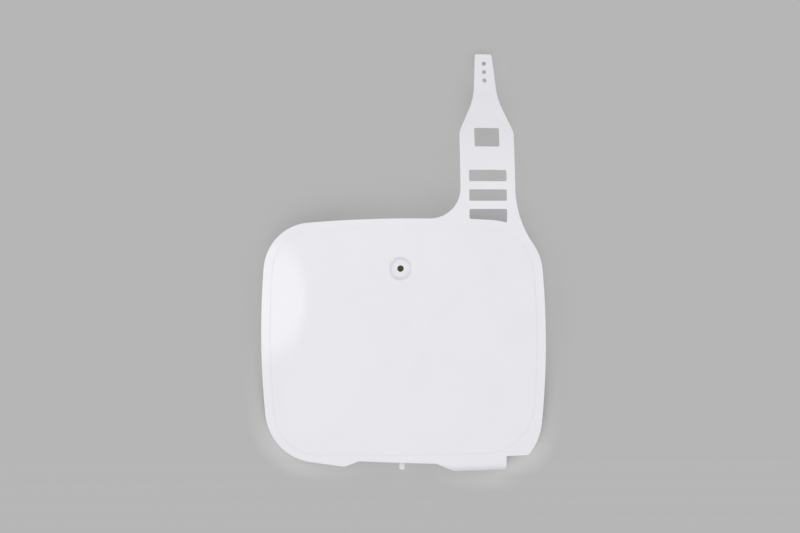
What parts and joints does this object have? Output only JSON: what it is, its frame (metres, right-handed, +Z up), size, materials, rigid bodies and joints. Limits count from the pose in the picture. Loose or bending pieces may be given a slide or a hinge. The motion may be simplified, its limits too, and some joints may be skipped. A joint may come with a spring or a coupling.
{
  "type": "racing number board",
  "caption": "White moulded motorbike front number board: a crowned panel with a turned-back edge, a dished bolt seat, a locating peg below and a slotted strap that closes round the handlebar.",
  "frame": {"origin": "on the bolt axis at the back end of the bush, where the board seats on its bracket", "axes": "+Z up the board, +X to the right seen from the number side, -Y out of the number side along the bolt"},
  "size_m": [0.285, 0.0689, 0.4209],
  "materials": {
    "board": "smooth moulded white, half gloss",
    "bush": "dull turned metal"
  },
  "bodies": {
    "root": {"number_board": "board", "bolt_bush": "bush"}
  },
  "joints": []
}
